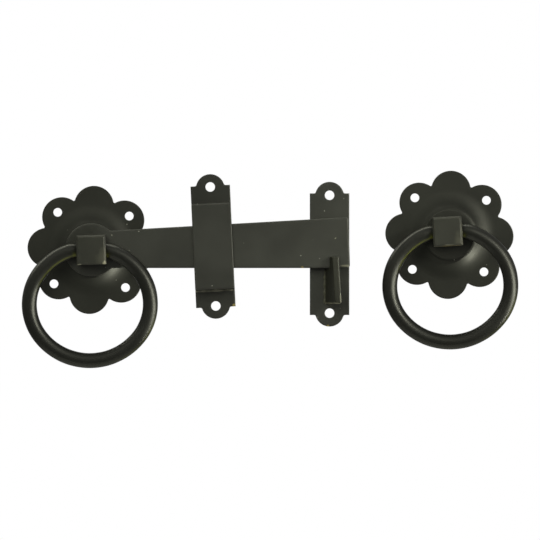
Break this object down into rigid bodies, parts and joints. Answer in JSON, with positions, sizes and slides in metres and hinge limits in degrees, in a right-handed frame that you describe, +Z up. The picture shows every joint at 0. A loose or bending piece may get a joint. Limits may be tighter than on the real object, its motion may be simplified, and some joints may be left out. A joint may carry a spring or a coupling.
{
  "type": "ring gate latch",
  "caption": "Ring gate latch set: ring handles on domed, lobed roses, a tapered latch bar that lifts in a bent staple, and a catch plate with a hook.",
  "frame": {"origin": "where the rear handle's axis meets the gate's face, in the middle of the rear rose's screw circle", "axes": "+X along the latch bar to its tip, +Y into the gate, so that the fronts face -Y, +Z up"},
  "size_m": [0.3137, 0.1049, 0.1248],
  "materials": {
    "black_coating": "satin olive-black coating over steel"
  },
  "bodies": {
    "backplates": {"rear_rose": "black_coating", "front_rose": "black_coating", "staple": "black_coating", "catch_plate": "black_coating", "catch_hook": "black_coating"},
    "rear_handle": {"rear_lug": "black_coating", "latch_bar": "black_coating", "rear_retaining_washer": "black_coating"},
    "rear_ring": {"rear_ring": "black_coating"},
    "front_handle": {"front_lug": "black_coating", "front_thrust_washer": "black_coating", "spindle": "black_coating", "front_retaining_washer": "black_coating"},
    "front_ring": {"front_ring": "black_coating"}
  },
  "joints": [
    {"name": "latch_lift", "type": "hinge", "parent": "backplates", "child": "rear_handle", "pos_m": [0, 0, 0], "axis": [0, -1, 0], "range_deg": [0, 6.7]},
    {"name": "rear_ring_swing", "type": "hinge", "parent": "rear_handle", "child": "rear_ring", "pos_m": [0, -0.0206, 0], "axis": [-0.9996, 0, -0.0282], "range_deg": [-12, 192]},
    {"name": "front_handle_turn", "type": "hinge", "parent": "backplates", "child": "front_handle", "pos_m": [0.22645, 0, 0.00955], "axis": [0, -1, 0], "range_deg": [-6.7, 6.7]},
    {"name": "front_ring_swing", "type": "hinge", "parent": "front_handle", "child": "front_ring", "pos_m": [0.22503, -0.0201, 0.01167], "axis": [-0.9983, 0, -0.0576], "range_deg": [-12, 192]}
  ]
}
